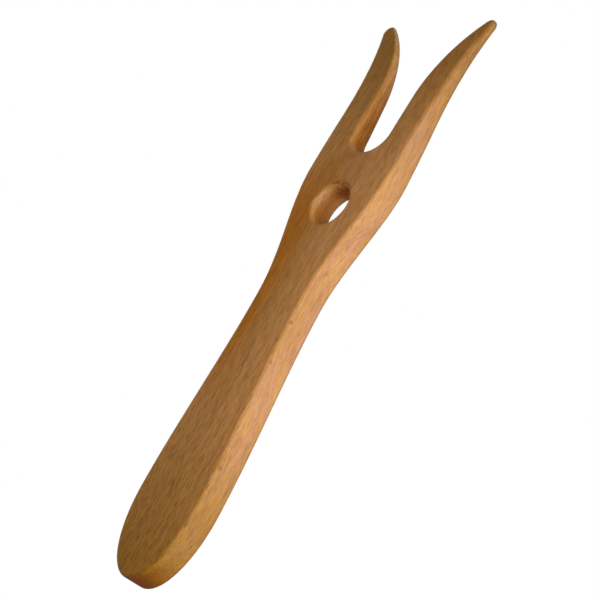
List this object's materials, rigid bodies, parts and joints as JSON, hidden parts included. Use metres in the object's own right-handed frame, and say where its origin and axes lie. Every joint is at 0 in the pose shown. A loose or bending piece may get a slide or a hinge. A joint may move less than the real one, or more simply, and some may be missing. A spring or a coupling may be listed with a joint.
{
  "type": "lucet",
  "caption": "Flat beech fork for braiding cord by hand: a swelling handle, a shoulder with a rounded cord hole, and outward-swept prongs that taper to blunt tips.",
  "frame": {"origin": "middle of the bounding box on the back face, with the lucet lying on its back", "axes": "+Z out of the front face, +Y along the handle towards the prongs, +X to the right seen from the front"},
  "size_m": [0.0508, 0.2, 0.009],
  "materials": {
    "beech": "sanded beech with a thin satin oil finish"
  },
  "bodies": {
    "root": {"lucet_body": "beech"}
  },
  "joints": []
}
